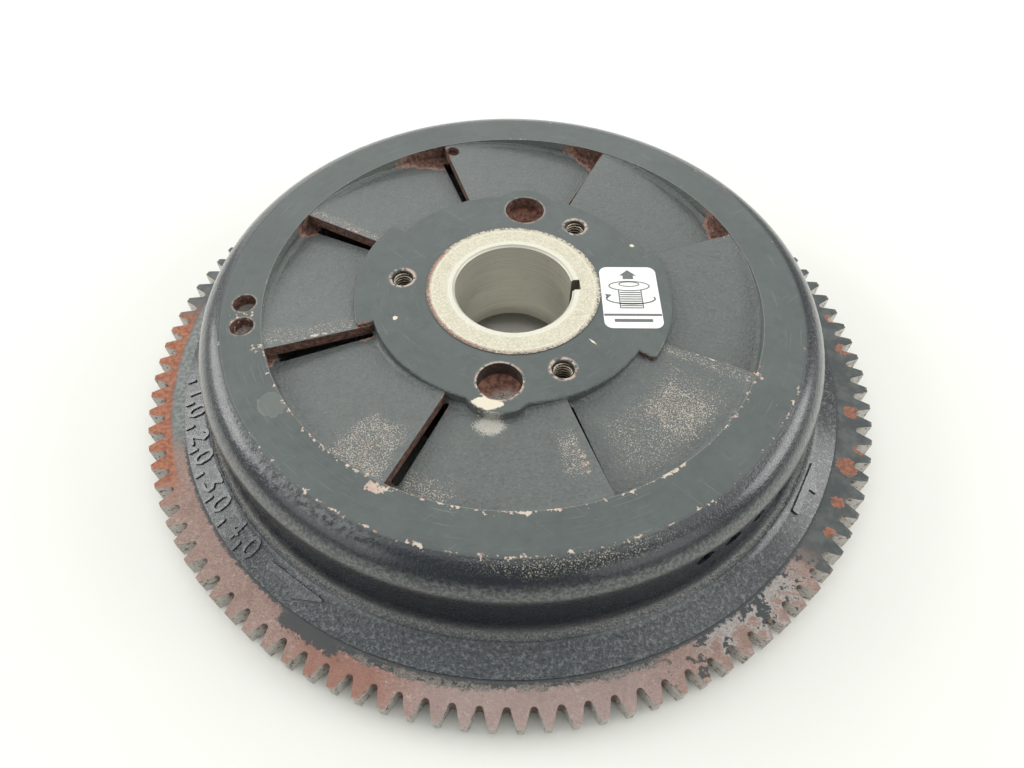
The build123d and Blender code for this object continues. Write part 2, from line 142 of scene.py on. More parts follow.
class Finish:
    """One material. Lengths are in millimetres and angles in degrees round the crank axis."""

    def __init__(self, name):
        self.material = bpy.data.materials.new(name)
        self.material.use_nodes = True
        self.tree = self.material.node_tree
        self.tree.nodes.clear()
        metres = self.node("ShaderNodeTexCoord", {}, {}, "Object")
        to_mm = {0: metres, "Scale": 1 / MM}
        self.place = self.node("ShaderNodeVectorMath", {"operation": "SCALE"}, to_mm)
        parts = self.node("ShaderNodeSeparateXYZ", {}, {0: self.place})
        self.x, self.y, self.z = (Value(self, s) for s in parts.socket.node.outputs)
        self.radius = self.maths("SQRT", self.x * self.x + self.y * self.y)
        self.angle = self.maths("ARCTAN2", self.y, self.x) * math.degrees(1)
        facing = self.node("ShaderNodeNewGeometry", {}, {}, "Normal")
        sides = self.node("ShaderNodeSeparateXYZ", {}, {0: facing})
        self.face_x, self.face_y, self.up = (Value(self, s) for s in sides.socket.node.outputs)

    def node(self, kind, settings, values, output=0):
        """Adds a node: its settings first, then the value or link of each socket."""
        made = self.tree.nodes.new(kind)
        for key, setting in settings.items():
            setattr(made, key, setting)
        for key, value in values.items():
            socket = made.inputs[key]
            if isinstance(value, Value):
                self.tree.links.new(value.socket, socket)
            elif isinstance(value, tuple) and socket.type == "RGBA":
                socket.default_value = (*value, 1.0)
            else:
                socket.default_value = value
        return Value(self, made.outputs[output])

    def maths(self, operation, *values):
        return self.node("ShaderNodeMath", {"operation": operation}, dict(enumerate(values)))

    def rise(self, low, high, value):
        """0 at low and 1 at high, with a smooth step between. Low may be the larger of the two."""
        ends = {"Value": value, "From Min": low, "From Max": high}
        return self.node("ShaderNodeMapRange", {"interpolation_type": "SMOOTHSTEP"}, ends)

    def most(self, *values):
        found = values[0]
        for value in values[1:]:
            found = self.maths("MAXIMUM", found, value)
        return found

    def colour(self, share, under, over):
        """The colour under, covered by the colour over where share is 1."""
        sockets = {0: share, 6: under, 7: over}
        return self.node("ShaderNodeMix", {"data_type": "RGBA", "clamp_factor": True}, sockets, 2)

    def noise(self, size, detail=3.0, rough=0.55, place=None, shift=0.0):
        """Cloudy noise around 0.5 with blotches about size millimetres across."""
        where = place or self.place
        if shift:
            moved = {0: where, 1: (shift, shift, 0.0)}
            where = self.node("ShaderNodeVectorMath", {"operation": "ADD"}, moved)
        sockets = {"Vector": where, "Scale": 1 / size, "Detail": detail, "Roughness": rough}
        return self.node("ShaderNodeTexNoise", {}, sockets)

    def vector(self, x, y, z):
        return self.node("ShaderNodeCombineXYZ", {}, {0: x, 1: y, 2: z})

    def off(self, centre):
        """Degrees from a direction, the short way round."""
        return abs(self.maths("WRAP", self.angle - centre, 180.0, -180.0))

    def sector(self, start, end, soft, ragged=0.0):
        """1 between two directions, with soft edges that ragged pushes about."""
        half = (end - start) / 2
        return self.rise(half + soft, half - soft, self.off((start + end) / 2) + ragged)

    def band(self, low, high, soft, ragged=0.0):
        """1 between two radii."""
        half = (high - low) / 2
        away = abs(self.radius - (low + high) / 2)
        return self.rise(half + soft, half - soft, away + ragged)

    def blob(self, direction, radius, wide, deep, strength):
        """A soft patch, wide degrees round and deep millimetres out from its middle."""
        round_ = self.off(direction) * (1 / wide)
        out = (self.radius - radius) * (1 / deep)
        return self.rise(1.0, 0.0, round_ * round_ + out * out) * strength

    def wedge(self, wall, wide, deep):
        """Falls from 1 in the corner of a wall and the rim to 0 along both of them."""
        round_ = (self.angle - (wall if wall < 180 else wall - 360)) * (1 / wide)
        inward = (RIM_INNER - self.radius) * (1 / deep)
        return (1 - round_ - abs(inward)) * self.rise(-0.04, 0.0, round_)

    def from_point(self, x, y):
        dx = self.x - x
        dy = self.y - y
        return self.maths("SQRT", dx * dx + dy * dy)

    def finish(self, base, rough, metallic=0.0, height=None, coat=0.0, coat_rough=0.1, specular=0.5):
        """Joins everything to the surface. Height is in millimetres."""
        sockets = {
            "Base Color": base,
            "Roughness": rough,
            "Metallic": metallic,
            "Coat Weight": coat,
            "Coat Roughness": coat_rough,
            "Specular IOR Level": specular,
        }
        if height is not None:
            relief = {"Strength": 1.0, "Distance": MM, "Height": height}
            sockets["Normal"] = self.node("ShaderNodeBump", {}, relief)
        shader = self.node("ShaderNodeBsdfPrincipled", {}, sockets)
        end = self.tree.nodes.new("ShaderNodeOutputMaterial")
        self.tree.links.new(shader.socket, end.inputs["Surface"])
        return self.material


def polar(radius, degrees):
    """The point at a radius and a direction from the crank axis."""
    return radius * math.cos(math.radians(degrees)), radius * math.sin(math.radians(degrees))


def casting_paint():
    f = Finish("casting paint")
    r, z, up = f.radius, f.z, f.up

    # Where the machined faces, the sloping vanes and the rough outside of the bell are.
    flat = f.rise(HEIGHT - 0.2, HEIGHT - 0.08, z) * f.rise(0.9, 0.98, up)
    outside = f.rise(101.2, 102.4, r)
    pocket = f.rise(88.4, 87.7, r) * (1 - flat)
    flange = outside * f.rise(111.8, 113.4, r)

    broad = f.noise(26.0, 3.0)
    mottle = f.noise(4.0, 4.0, 0.6, shift=40.0)
    fine = f.noise(0.55, 3.0, 0.6, shift=80.0)
    patchy = f.noise(7.0, 3.0, 0.6, shift=120.0)
    crumbs = f.noise(1.9, 4.0, 0.62, shift=160.0)
    dust = f.noise(0.42, 2.0, 0.6, shift=200.0)
    pebble = f.noise(1.35, 2.0, 0.5, shift=20.0)
    pit = f.noise(0.65, 2.0, 0.5, shift=60.0)
    peel = f.noise(1.1, 2.5, 0.55, shift=100.0)

    paint = f.colour(f.rise(0.3, 0.7, broad), (0.073, 0.088, 0.086), (0.087, 0.104, 0.100))
    paint = f.colour(pocket * 0.8, paint, (0.100, 0.114, 0.110))
    # Painted sheen: the flange's cast skin is painted lighter over the front and darker at the left and
    # right.
    front = f.sector(228, 316, 16.0)
    skin = f.colour(front, (0.016, 0.021, 0.027), (0.058, 0.068, 0.077))
    paint = f.colour(outside, paint, f.colour(flange, (0.006, 0.010, 0.016), skin))
    paint = f.colour(f.rise(0.52, 0.72, mottle) * 0.22 * (1 - outside), paint, (0.12, 0.14, 0.135))
    paint = f.colour(f.rise(0.50, 0.30, mottle) * 0.22, paint, (0.035, 0.043, 0.045))

    # Painted glints and shade on the flange's pebbles and the vanes' orange peel, a painted highlight
    # band under the shoulder, a pale foot line that is partly rubbed and partly painted highlight, and
    # specks and a film on the shoulder.
    pebble_painted_glints = f.rise(0.50, 0.62, pebble * 0.55 + pit * 0.45)
    pebble_painted_shade = f.rise(0.48, 0.38, pebble * 0.5 + pit * 0.5)
    # Painted shade between the flange's pebbles and painted glints on their tops.
    paint = f.colour(pebble_painted_shade * flange * 0.5, paint, (0.012, 0.016, 0.020))
    paint = f.colour(pebble_painted_glints * flange * 0.55, paint, (0.23, 0.24, 0.235))
    # Painted highlight on the raised parts of the vanes' orange peel and painted shade in its dips.
    paint = f.colour(f.rise(0.56, 0.70, peel) * pocket * 0.35, paint, (0.17, 0.185, 0.18))
    paint = f.colour(f.rise(0.46, 0.34, peel) * pocket * 0.35, paint, (0.055, 0.065, 0.065))
    # Painted highlight: a lighter band on the round under the shoulder of the bell.
    painted_highlight_band = outside * f.rise(0.16, 0.34, up) * f.rise(0.74, 0.50, up) * f.rise(26.0, 29.0, z)
    paint = f.colour(painted_highlight_band * (0.15 + f.rise(0.42, 0.60, peel) * 0.8), paint, (0.105, 0.115, 0.11))
    # A pale line along the foot of the bell's wall: partly rubbed paint, partly a painted highlight on
    # the fillet.
    foot = f.band(112.7, 113.9, 0.6, (pebble - 0.5) * 2.4)
    foot = foot * f.rise(0.46, 0.56, dust) * f.rise(0.25, 0.5, up)
    foot = foot * f.most(f.sector(218, 330, 10.0) * 0.8, 0.25)
    shoulder = f.band(101.8, 106.0, 1.2, (patchy - 0.5) * 6.0) * f.rise(30.0, 34.0, z)
    glitter = shoulder * f.sector(271, 300, 5.0) * f.rise(0.57, 0.62, dust)
    film = shoulder * f.sector(219, 254, 6.0) * f.rise(0.42, 0.58, crumbs)
    paint = f.colour(foot * 0.7, paint, (0.33, 0.32, 0.27))
    paint = f.colour(film * 0.55, paint, (0.16, 0.175, 0.17))
    paint = f.colour(glitter * 0.8, paint, (0.40, 0.37, 0.29))

    # The raised marks: a painted highlight on their tops and painted shade on their sides.
    cone = GEAR_TOP + FLANGE_LIP + (GEAR_SEAT - r) * math.tan(math.radians(FLANGE_SLOPE))
    proud = f.rise(0.18, 0.42, z - cone) * f.band(MARKS_INNER, MARKS_OUTER, 0.3)
    mark = proud * f.sector(190, 345, 0.6)
    # Painted highlight on the tops of the marks.
    paint = f.colour(mark * f.rise(0.55, 0.85, up) * 0.25, paint, (0.105, 0.12, 0.12))
    # Painted shade on the sides of the marks.
    side = f.rise(0.86, 0.70, up) * f.rise(0.04, 0.15, z - cone) * f.band(115.8, 124.2, 0.3)
    paint = f.colour(side * 0.9, paint, (0.006, 0.008, 0.010))

    # Fine turning marks, short arc scratches and a few straight ones on the machined faces.
    turned = f.noise(1.0, 2.0, 0.5, f.vector(r * 2.6, f.angle * 0.035, 0.0))
    arcs = f.rise(0.66, 0.72, f.noise(1.0, 2.0, 0.5, f.vector(r * 2.9, f.angle * 0.09, 5.0)))
    about_z = {"rotation_type": "Z_AXIS"}
    stretch = {"operation": "MULTIPLY"}
    along = f.node("ShaderNodeVectorRotate", about_z, {"Vector": f.place, "Angle": 0.62})
    drawn = f.node("ShaderNodeVectorMath", stretch, {0: along, 1: (0.035, 2.2, 1.0)})
    scratch = f.rise(0.70, 0.76, f.noise(1.0, 2.0, 0.5, drawn))
    across = f.node("ShaderNodeVectorRotate", about_z, {"Vector": f.place, "Angle": -0.75})
    crossed = f.node("ShaderNodeVectorMath", stretch, {0: across, 1: (0.045, 2.0, 1.0)})
    crossing = f.rise(0.71, 0.77, f.noise(1.0, 2.0, 0.5, crossed, shift=9.0))
    scratch = f.most(scratch, crossing, arcs * 0.7) * flat
    scored = f.sector(205, 245, 8.0) * f.band(90.0, 99.0, 2.0)
    scoring = f.rise(0.62, 0.68, f.noise(1.0, 3.0, 0.6, f.vector(r * 4.6, f.angle * 0.11, 9.0)))
    scratch = f.most(scratch, scoring * scored * flat * 0.5)
    paint = f.colour(scratch * 0.5, paint, (0.28, 0.31, 0.305))
    paint = f.colour(f.rise(0.58, 0.75, turned) * flat * 0.2, paint, (0.15, 0.17, 0.165))
    # A painted highlight along the rim's inner edge.
    rim_edge_painted_highlight = f.rise(0.32, 0.1, abs(r - RIM_INNER)) * (1 - outside)
    rim_edge_painted_highlight = rim_edge_painted_highlight * f.rise(HEIGHT - 3.5, HEIGHT - 2.5, z)
    paint = f.colour(rim_edge_painted_highlight * 0.35, paint, (0.30, 0.32, 0.30))

    # Pale corrosion that breaks through the paint of the vanes in fine specks.
    vane = pocket * f.band(HUB_EDGE, 87.2, 0.6)
    ragged = (patchy - 0.5) * 10.0
    density = f.most(
        f.sector(235, 249.5, 2.0, ragged) * f.rise(60.0, 74.0, r + ragged) * 0.95,
        f.sector(251, 264, 2.5, ragged) * f.rise(70.0, 82.0, r + ragged) * 0.85,
        f.sector(301, 335, 5.0, ragged) * f.band(60.0, 85.0, 5.0, ragged) * 0.72,
        f.sector(313, 331, 5.0, ragged) * f.band(62.0, 84.0, 5.0, ragged),
        f.sector(287.5, 294, 1.5, ragged * 0.3) * f.band(61.0, 79.0, 4.0, ragged) * 0.9,
        f.sector(336.5, 341, 1.5, ragged * 0.3) * 0.75,
        f.sector(199, 205.6, 2.0, ragged * 0.3) * 0.72,
        f.sector(157, 160.6, 1.2, ragged * 0.2) * 0.85,
        0.14,
    )
    speck = f.rise(0.0, 0.05, dust + density * 0.235 + (patchy - 0.5) * 0.16 * density - 0.745) * vane
    spray = f.rise(0.0, 0.04, f.noise(0.8, 2.0, 0.6, shift=240.0) - 0.735) * (1 - outside) * 0.8

    # Chips along the rim's two edges, the ends of the vanes and round the holes.
    inner = abs(r - RIM_INNER - 0.3)
    outer = abs(r - RIM_OUTER + 0.2)
    inner_front = f.sector(205, 341, 5.0)
    outer_front = f.sector(224, 345, 5.0)
    inner_wear = crumbs + inner_front * 0.12 + (patchy - 0.5) * 0.55 - inner * 0.10
    outer_wear = crumbs + outer_front * 0.12 + (patchy - 0.5) * 0.34 - outer * 0.11
    inner_chip = f.rise(0.0, 0.03, inner_wear - 0.66)
    outer_chip = f.rise(0.0, 0.03, outer_wear - 0.66)
    near_top = f.rise(HEIGHT - 3.0, HEIGHT - 1.2, z)
    chip = f.most(inner_chip, outer_chip) * near_top

    patches = f.most(*(f.blob(*row) for row in BARE_PATCHES))
    chip = f.most(chip, f.rise(0.0, 0.05, patches * 0.36 + crumbs - 0.80) * f.rise(35.0, 37.0, z))
    stain = f.blob(220.5, 91.5, 4.2, 6.6, 0.5) + patchy * 0.9 + crumbs * 0.3 - 0.86
    ghost = f.rise(0.0, 0.02, stain) * flat
    ghost_edge = ghost * f.rise(0.05, 0.01, stain)

    # Round holes: distance to the nearest of each kind.
    blind = f.maths("MINIMUM", f.from_point(0, BLIND_CIRCLE), f.from_point(0, -BLIND_CIRCLE))
    puller = f.from_point(*polar(PULLER_CIRCLE, PULLER_ANGLES[0]))
    for degrees in PULLER_ANGLES[1:]:
        puller = f.maths("MINIMUM", puller, f.from_point(*polar(PULLER_CIRCLE, degrees)))
    drilled = f.maths("MINIMUM", *(f.from_point(*polar(*hole)) for hole in RIM_DRILLINGS))
    drilled = f.maths("MINIMUM", drilled, f.from_point(*polar(*VANE_DRILLING)) + 1.4)
    sunk = f.rise(HEIGHT - 0.12, HEIGHT - 0.5, z)
    rim_of_hole = f.rise(BLIND_RADIUS + 1.1, BLIND_RADIUS + 0.1, blind + (crumbs - 0.5) * 2.2)
    rim_of_hole = rim_of_hole * f.most(f.rise(0.0, -4.0, f.y), 0.45)
    rim_of_hole = f.most(rim_of_hole, f.rise(5.4, 4.4, puller + (crumbs - 0.5) * 1.6))
    rim_of_hole = f.most(rim_of_hole, f.rise(4.9, 4.0, drilled + (crumbs - 0.5) * 2.6) * 0.6)
    chip = f.most(chip, rim_of_hole * (1 - sunk) * f.rise(0.40, 0.56, crumbs))

    # Light chips on the hub face and the bare sandy patch in front of the front hole.
    scrape_along = (f.x - 29.1) * 0.77 + (f.y + 22.0) * -0.64
    scrape_over = (f.x - 29.1) * 0.64 + (f.y + 22.0) * 0.77
    hub_chip = f.most(
        f.rise(1.0, 0.75, f.from_point(-38.7, -19.4) + (fine - 0.5) * 1.2),
        f.rise(0.85, 0.6, f.from_point(41.8, 26.6) + (fine - 0.5) * 1.0),
        f.rise(0.7, 0.45, abs(scrape_along) * 0.3 + abs(scrape_over) * 1.4),
    )
    sand = f.rise(5.6, 4.8, f.from_point(-2.8, -50.9) + abs(f.y + 50.9) * 0.9 + (crumbs - 0.5) * 4.0)
    sand = sand * f.rise(BLIND_RADIUS, BLIND_RADIUS + 0.5, blind)
    haze = f.rise(9.0, 2.0, f.from_point(-1.4, -57.0) + abs(f.y + 57.0) * 0.5) * pocket
    haze = f.rise(0.0, 0.22, haze * 0.45 + dust * 0.9 - 0.62)

    # Rust on the upright faces between the vanes, in the low corners and in the holes, with painted
    # shade low in the slots and on the wall of the front hole.
    upright = f.rise(0.62, 0.2, up) * pocket * f.band(51.0, 88.5, 0.8) * f.rise(30.0, 33.0, z)
    tangent = abs(f.face_x * f.x + f.face_y * f.y) / r
    # Painted shade: the upright faces low down in the slots between the vanes are painted near-black.
    slot_painted_shade = f.rise(41.5, 41.2, z + r * 0.036) * upright
    end_wall = upright * f.rise(0.75, 0.4, tangent) * (1 - slot_painted_shade)
    corners = [f.wedge(*place) - less for *place, less in RUST_CORNERS]
    wedge = f.most(*corners, *(f.blob(*row) for row in HUB_RUST))
    wedge = (wedge + (crumbs - 0.5) * 0.55 + (patchy - 0.5) * 0.5) * pocket * f.rise(51.0, 52.0, r)
    corner = f.rise(0.0, 0.05, wedge - 0.27) * (1 - slot_painted_shade)
    hollow = sunk * f.most(f.rise(8.2, 7.8, blind), f.rise(4.4, 4.1, drilled))
    rust = f.most(end_wall, corner, hollow)
    rust_tone = f.noise(1.4, 4.0, 0.65, shift=300.0)
    rust_colour = f.colour(f.rise(0.35, 0.62, rust_tone), (0.050, 0.026, 0.021), (0.19, 0.092, 0.066))
    rust_colour = f.colour(f.rise(0.60, 0.74, rust_tone), rust_colour, (0.40, 0.26, 0.20))
    pale_edge = corner * f.rise(0.50, 0.32, wedge + (fine - 0.5) * 0.3) * (1 - end_wall)
    rust_colour = f.colour(pale_edge * 0.8, rust_colour, (0.42, 0.25, 0.19))
    floor = f.rise(8.2, 7.8, blind) * f.rise(HEIGHT - 4.6, HEIGHT - 5.8, z)
    floor_colour = f.colour(f.rise(0.38, 0.62, crumbs), (0.15, 0.065, 0.046), (0.36, 0.17, 0.12))
    rust_colour = f.colour(floor, rust_colour, floor_colour)
    shade = f.rise(8.2, 7.8, blind) * f.rise(0.0, -4.0, f.y) * f.rise(0.4, 0.1, up)
    rust_colour = f.colour(shade * 0.7, rust_colour, (0.022, 0.020, 0.020))
    ash = floor * f.rise(0.40, 0.52, dust) * f.rise(6.4, 3.0, f.from_point(1.6, -44.6))
    ash = f.most(ash, f.rise(4.2, 3.6, drilled) * f.rise(HEIGHT - 3.6, HEIGHT - 4.8, z) * 0.7)
    rust_colour = f.colour(ash, rust_colour, (0.46, 0.44, 0.41))

    chip_colour = f.colour(f.rise(0.35, 0.65, patchy), (0.52, 0.38, 0.32), (0.60, 0.52, 0.44))
    chip_colour = f.colour(f.rise(0.55, 0.7, mottle), chip_colour, (0.36, 0.20, 0.15))
    speck_colour = f.colour(f.rise(0.4, 0.6, mottle), (0.50, 0.46, 0.39), (0.46, 0.37, 0.31))

    surface = f.colour(ghost * 0.16 + ghost_edge * 0.35, paint, (0.32, 0.32, 0.29))
    surface = f.colour(f.most(speck, spray * 0.6), surface, speck_colour)
    surface = f.colour(rust * 0.94, surface, rust_colour)
    # Painted shade: near-black deep in the slots.
    surface = f.colour(slot_painted_shade * 0.95, surface, (0.008, 0.009, 0.011))
    surface = f.colour(chip, surface, chip_colour)
    surface = f.colour(f.most(hub_chip, sand), surface, (0.74, 0.67, 0.54))
    surface = f.colour(haze * 0.8, surface, (0.56, 0.54, 0.48))
    thread = f.rise(4.6, 4.3, puller) * sunk
    crest = f.rise(3.34, 3.06, puller) * f.rise(HEIGHT - 11.0, HEIGHT - 4.0, z)
    thread_colour = f.colour(crest, (0.035, 0.030, 0.026), (0.66, 0.58, 0.46))
    surface = f.colour(thread, surface, thread_colour)

    # The cast skin: pebbles on the flange, a finer grain up the bell, orange peel on the vanes.
    height = (pebble * 0.85 + pit * 0.55) * flange * (1 - mark * 0.55)
    height = height + (pebble * 0.28 + pit * 0.20) * outside * (1 - flange)
    orange_peel = peel * 0.52 + pit * 0.26 + f.sector(265, 292, 4.0) * peel * 0.2
    height = height + orange_peel * (1 - outside) * (1 - flat)
    height = height + fine * 0.012 + mottle * 0.03
    height = height - (turned * 0.006 + scratch * 0.012) * flat
    height = height - f.most(chip, hub_chip) * 0.09 + rust * rust_tone * 0.22
    height = height + speck * 0.04 + sand * dust * 0.12

    worn = f.most(chip, rust, haze, sand)
    rough = 0.42 + (mottle - 0.5) * 0.16 - outside * 0.16 + pocket * 0.02 + worn * 0.36 + speck * 0.2
    wall_band = outside * f.rise(0.34, 0.14, up)
    gloss = (1 - f.most(worn, speck)) * (outside * (0.75 - wall_band * 0.75) + vane * 0.42 + 0.04)
    return f.finish(surface, rough, thread * 0.6, height, coat=gloss, coat_rough=0.2)


def bush_steel():
    f = Finish("bush steel")
    r, z, up = f.radius, f.z, f.up
    top = f.rise(HEIGHT - 0.9, HEIGHT - 0.5, z) * f.rise(0.5, 0.9, up)
    grain = f.noise(0.5, 3.0, 0.65)
    cloud = f.noise(5.0, 4.0, 0.6, shift=30.0)
    rings = f.noise(1.0, 2.0, 0.5, f.vector(r * 3.4, f.angle * 0.02, 0.0))
    face = f.colour(f.rise(0.30, 0.70, grain), (0.50, 0.465, 0.355), (0.74, 0.71, 0.58))
    face = f.colour(f.rise(0.52, 0.72, cloud) * 0.4, face, (0.48, 0.445, 0.33))
    face = f.colour(f.rise(0.56, 0.72, rings) * 0.35, face, (0.70, 0.68, 0.58))
    face = f.colour(f.rise(24.4, 22.6, r) * 0.6, face, (0.76, 0.75, 0.66))
    groove = f.most(f.rise(0.35, 0.1, abs(r - 23.1)) * 0.5, f.rise(0.4, 0.1, abs(r - 29.0)) * 0.45)
    face = f.colour(groove * f.rise(0.3, 0.5, cloud), face, (0.78, 0.76, 0.67))

    crumbs = f.noise(0.9, 4.0, 0.65, shift=60.0)
    rust_edge = f.rise(1.9, 0.7, (BUSH_RADIUS - r) + (crumbs - 0.5) * 3.0)
    stripe = rust_edge * f.most(f.sector(148, 262, 9.0), f.sector(262, 300, 8.0) * 0.5, 0.16)
    face = f.colour(stripe * f.rise(0.34, 0.52, cloud + crumbs * 0.2), face, (0.36, 0.20, 0.16))
    flecks = f.rise(0.0, 0.06, crumbs - 0.47 - (BUSH_RADIUS - 0.3 - r) * 0.13)
    face = f.colour(flecks * 0.85, face, (0.11, 0.118, 0.105))

    honed = f.noise(1.0, 3.0, 0.6, f.vector(f.angle * 0.012, z * 2.8, 0.0))
    wall = f.colour(f.rise(0.3, 0.7, honed), (0.68, 0.66, 0.59), (0.86, 0.84, 0.75))
    # Painted shade: the bore wall is painted darker towards its bottom.
    wall = f.colour(f.rise(15.0, 9.0, z + (cloud - 0.5) * 3.0) * 0.5, wall, (0.24, 0.215, 0.18))
    wall = f.colour(f.rise(0.55, 0.75, cloud) * 0.3, wall, (0.55, 0.48, 0.39))
    # Painted shade: the faces of the keyway are painted dark.
    keyed = f.rise(BORE_RADIUS + 0.05, BORE_RADIUS + 0.5, r) * (1 - top)
    wall = f.colour(keyed * 0.8, wall, (0.06, 0.052, 0.045))

    surface = f.colour(top, wall, face)
    rough = 0.38 + top * (0.24 + (grain - 0.5) * 0.3) + keyed * 0.3
    metal = (1 - top) * 0.75 + top * 0.2 - f.most(stripe, flecks) * top * 0.2
    height = (grain * 0.06 + rings * 0.06 - groove * 0.08 + flecks * 0.1) * top
    height = height + honed * 0.006 * (1 - top)
    return f.finish(surface, rough, metal, height)


def gear_steel():
    f = Finish("gear steel")
    r, up = f.radius, f.up
    top = f.rise(0.55, 0.9, up)
    cloud = f.noise(6.0, 4.0, 0.62)
    crumbs = f.noise(1.5, 4.0, 0.65, shift=30.0)
    grit = f.noise(0.45, 3.0, 0.6, shift=60.0)
    brushed = f.noise(1.0, 3.0, 0.6, f.vector(f.x * 0.35, f.y * 1.6, 3.0))
    wander = (cloud - 0.5) * 22.0
    from_seat = r - GEAR_SEAT

    rust = f.colour(f.rise(0.34, 0.64, grit), (0.27, 0.170, 0.140), (0.40, 0.285, 0.245))
    rust = f.colour(f.rise(0.50, 0.72, brushed) * 0.5, rust, (0.46, 0.36, 0.325))
    rust = f.colour(f.rise(0.50, 0.30, cloud) * 0.45, rust, (0.24, 0.145, 0.12))
    rust = f.colour(f.sector(247, 261, 5.0, wander * 0.3) * 0.6, rust, (0.30, 0.115, 0.075))
    rust = f.colour(f.sector(264, 296, 6.0, wander * 0.3) * 0.45, rust, (0.36, 0.29, 0.285))
    flecked = f.rise(0.56, 0.64, crumbs) * f.rise(0.48, 0.6, cloud)
    rust = f.colour(flecked * 0.55, rust, (0.50, 0.42, 0.39))
    rust = f.colour(f.rise(0.42, 0.30, crumbs) * 0.4, rust, (0.19, 0.10, 0.08))
    orange = f.colour(f.rise(0.35, 0.65, crumbs), (0.27, 0.095, 0.050), (0.47, 0.19, 0.11))
    paint = f.colour(f.rise(0.35, 0.65, cloud), (0.050, 0.060, 0.062), (0.100, 0.115, 0.112))
    pale_steel = f.colour(f.rise(0.3, 0.7, grit), (0.36, 0.34, 0.325), (0.56, 0.53, 0.50))

    # Paint all round, rusted through over the front half and worn bare beside it.
    rusted = f.sector(206, 324, 2.5, wander * 0.3)
    teeth_rust = f.sector(178, 214, 4.0, wander * 0.2)
    teeth_rust = teeth_rust * f.rise(127.8, 130.2, r + (cloud - 0.5) * 5.0)
    spots = f.most(*(f.blob(*row) for row in TOOTH_RUST))
    spots = f.rise(0.0, 0.06, spots * 0.45 + crumbs * 0.9 + cloud * 0.3 - 0.80)
    face = f.colour(rusted, paint, rust)
    face = f.colour(teeth_rust, face, orange)
    face = f.colour(spots * f.rise(0.30, 0.46, grit) * 0.85, face, orange)
    bare = f.sector(303, 321, 3.0, wander * 0.4)
    bare = bare * f.rise(0.44, 0.54, cloud + f.rise(130.0, 126.0, r) * 0.12)
    face = f.colour(bare * 0.9, face, pale_steel)
    joint = f.rise(1.6, 0.5, from_seat + (crumbs - 0.5) * 4.0)
    reach = from_seat + (crumbs - 0.5) * 4.0 + (cloud - 0.5) * 5.0 + f.sector(272, 295, 6.0) * 0.8
    strip = f.sector(250, 296, 2.0) * f.rise(3.5, 3.0, reach)
    strip_colour = f.colour(f.rise(0.35, 0.65, grit), (0.10, 0.095, 0.085), (0.26, 0.25, 0.22))
    face = f.colour(strip * 0.9, face, strip_colour)
    flakes = strip * f.rise(0.01, 0.04, crumbs * 0.5 + cloud * 0.6 - 0.55) * f.rise(0.6, 1.0, from_seat)
    remains = f.most(
        f.sector(242, 252, 0.8, wander * 0.35) * f.rise(5.2, 4.6, from_seat + (crumbs - 0.5) * 8.0),
        flakes,
        f.sector(296, 326, 3.0, wander * 0.3) * f.rise(0.02, 0.07, cloud + crumbs * 0.4 - 0.72),
        joint,
    )
    face = f.colour(remains * 0.95, face, (0.040, 0.048, 0.052))
    pale = f.sector(172, 206, 4.0, wander * 0.2) * f.rise(130.0, 128.0, r + (crumbs - 0.5) * 3.0)
    pale_colour = f.colour(f.rise(0.4, 0.6, crumbs), (0.17, 0.20, 0.20), (0.36, 0.37, 0.345))
    face = f.colour(pale * 0.65, face, pale_colour)

    # Tooth flanks: rubbed bright by the starter pinion, brown at the root.
    rub = f.rise(131.4, 133.2, r + (cloud - 0.5) * 2.4)
    flank = f.colour(f.rise(0.35, 0.65, crumbs), (0.105, 0.066, 0.052), (0.22, 0.145, 0.115))
    bright = f.colour(f.rise(0.3, 0.7, grit), (0.46, 0.43, 0.40), (0.66, 0.64, 0.61))
    flank = f.colour(rub * f.rise(0.40, 0.54, crumbs + 0.06), flank, bright)
    surface = f.colour(top, flank, face)
    edge = f.rise(136.2, 137.0, r) * f.rise(0.45, 0.6, crumbs)
    surface = f.colour(edge * 0.5, surface, (0.40, 0.32, 0.28))

    rusty = f.most(rusted, teeth_rust, spots) * (1 - remains)
    rough = 0.42 + rusty * 0.30 + (crumbs - 0.5) * 0.12 - (1 - top) * rub * 0.08
    metal = (1 - top) * rub * 0.7 + top * bare * 0.5
    height = crumbs * 0.05 + grit * 0.03 + rusty * grit * 0.05 + remains * 0.12
    return f.finish(surface, rough, metal, height)


def magnet_ferrite():
    f = Finish("ferrite")
    grain = f.noise(0.4, 3.0, 0.6)
    cloud = f.noise(5.0, 4.0, 0.6, shift=30.0)
    stone = f.colour(f.rise(0.3, 0.7, grain), (0.085, 0.085, 0.09), (0.15, 0.15, 0.155))
    stone = f.colour(f.rise(0.56, 0.7, cloud) * 0.5, stone, (0.20, 0.13, 0.10))
    return f.finish(stone, 0.55 + (cloud - 0.5) * 0.2, 0.3, grain * 0.04 + cloud * 0.05)


def cage_plastic():
    f = Finish("cage plastic")
    grain = f.noise(0.3, 3.0, 0.6)
    cloud = f.noise(6.0, 4.0, 0.6, shift=30.0)
    body = f.colour(f.rise(0.3, 0.7, cloud), (0.028, 0.028, 0.031), (0.048, 0.048, 0.05))
    body = f.colour(f.rise(0.60, 0.72, cloud) * 0.5, body, (0.12, 0.10, 0.085))
    return f.finish(body, 0.5 + (cloud - 0.5) * 0.2, 0.0, grain * 0.03 + cloud * 0.04)


